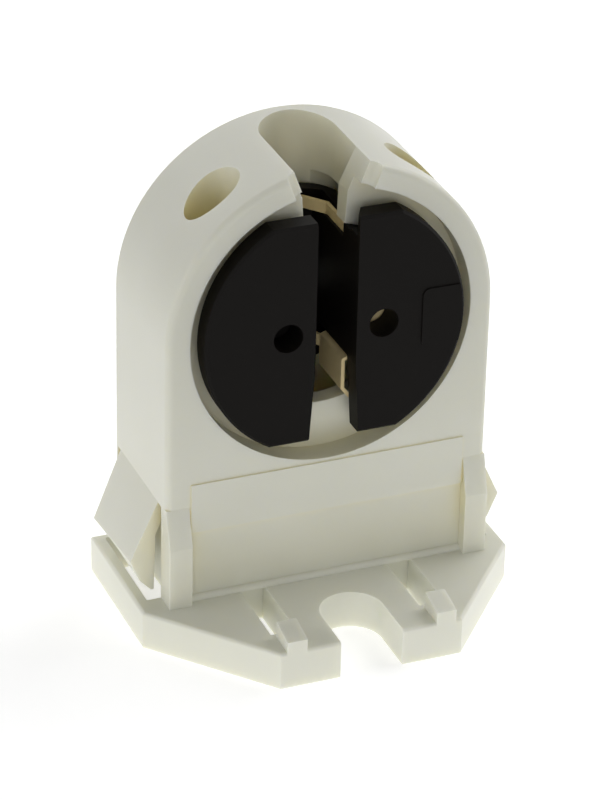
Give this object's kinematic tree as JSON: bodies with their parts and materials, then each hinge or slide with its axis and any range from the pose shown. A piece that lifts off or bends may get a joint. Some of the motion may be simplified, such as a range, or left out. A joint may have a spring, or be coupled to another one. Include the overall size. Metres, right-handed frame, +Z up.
{
  "type": "lamp holder",
  "caption": "Push-through rotary holder for a two-pin tubular lamp: arched housing on a slotted mounting flange, with a turning slotted rotor and side latches.",
  "frame": {"origin": "on the bottom face of the flange, under the lamp axis, in the plane of the ring face", "axes": "+Z up from the flange along the housing, +Y from the ring face into the housing along the lamp axis, +X to the right"},
  "size_m": [0.0328, 0.0225, 0.0405],
  "materials": {
    "housing_plastic": "satin moulded polycarbonate, off-white",
    "cover_plastic": "satin moulded polycarbonate, off-white",
    "rotor_plastic": "satin moulded thermoset, brown-black",
    "contact_bronze": "bare phosphor bronze strip",
    "spring_bronze": "bare phosphor bronze strip"
  },
  "bodies": {
    "holder": {"housing": "housing_plastic", "rear_cover": "cover_plastic", "supply_spring_right": "spring_bronze", "supply_spring_left": "spring_bronze"},
    "rotor": {"rotor": "rotor_plastic", "rotor_contact_right": "contact_bronze", "rotor_contact_left": "contact_bronze"}
  },
  "joints": [
    {"name": "rotor_turn", "type": "hinge", "parent": "holder", "child": "rotor", "pos_m": [0, 0, 0.0265], "axis": [0, 1, 0], "range_deg": [-90, 90]}
  ]
}
